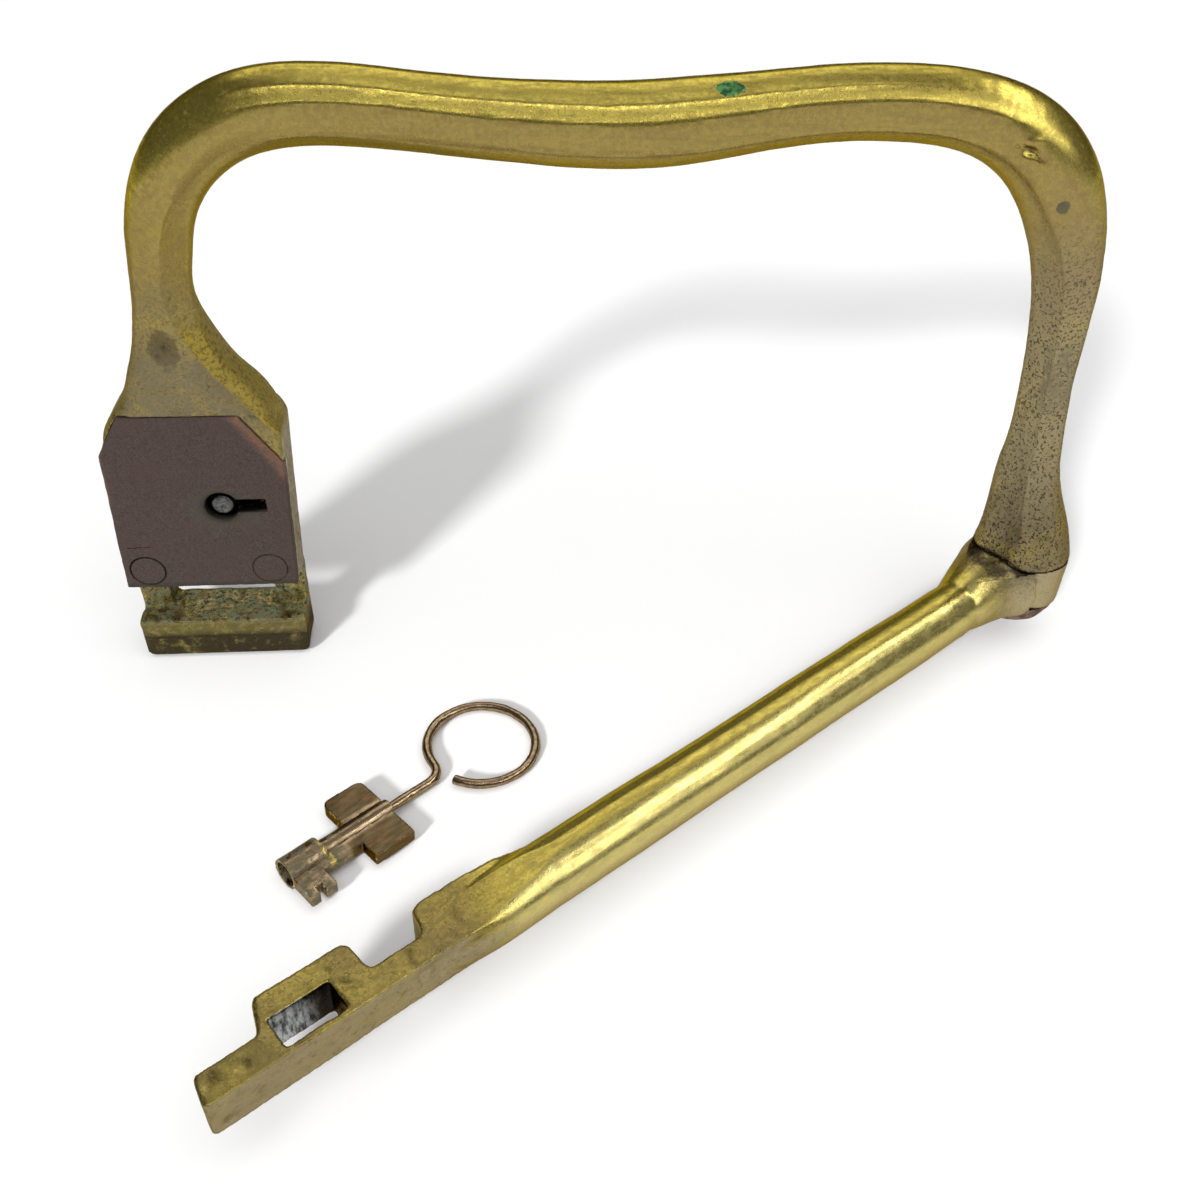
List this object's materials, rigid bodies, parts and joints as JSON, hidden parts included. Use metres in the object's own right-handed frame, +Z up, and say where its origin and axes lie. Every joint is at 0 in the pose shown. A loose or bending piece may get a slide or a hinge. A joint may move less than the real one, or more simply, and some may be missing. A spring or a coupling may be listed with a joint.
{
  "type": "hinged locking handle",
  "caption": "Humped brass carrying handle with a lock case at one end and a pivoted round bar whose tongue locks into it, with its pipe key.",
  "frame": {"origin": "middle of the flat underside of the lock case's lip, which the handle stands on", "axes": "+Z up, along the pivot pin; +X from the lock case towards the pivot; -Y is the keyhole side, to which the bar swings open"},
  "size_m": [0.1159, 0.0734, 0.0706],
  "materials": {
    "handle_brass": "worn polished cast brass with a brown patina",
    "bar_brass": "worn polished cast brass",
    "cover_steel": "browned steel, matte",
    "pin_steel": "worn steel",
    "works_brass": "dull brass",
    "spring_steel": "tempered steel",
    "pivot_bronze": "dark oxidised bronze",
    "key_brass": "tarnished brass",
    "key_wire": "tarnished brass wire"
  },
  "bodies": {
    "handle": {"bow_casting": "handle_brass", "cover_plate": "cover_steel", "cover_rivet_left": "cover_steel", "cover_rivet_right": "cover_steel", "drill_pin": "pin_steel", "detent_spring": "spring_steel", "spring_rivet": "works_brass", "case_ward": "works_brass", "pivot_pin": "pivot_bronze", "pivot_washer": "pivot_bronze"},
    "swing_bar": {"swing_bar": "bar_brass"},
    "lock_bolt": {"lock_bolt": "works_brass"},
    "key": {"key_shank": "key_brass", "key_blade": "key_brass", "key_upper_wing": "key_brass", "key_ring": "key_wire"}
  },
  "joints": [
    {"name": "bar_swing", "type": "hinge", "parent": "handle", "child": "swing_bar", "pos_m": [0.1, 0, 0.00885], "axis": [0, 0, 1], "range_deg": [-35.8, 314]},
    {"name": "bolt_throw", "type": "slide", "parent": "handle", "child": "lock_bolt", "axis": [0, 0, -1], "range_m": [0, 0.00385]},
    {"name": "key_lift", "type": "slide", "parent": "handle", "child": "key", "axis": [0, 0, 1], "range_m": [0, 0.03]}
  ]
}
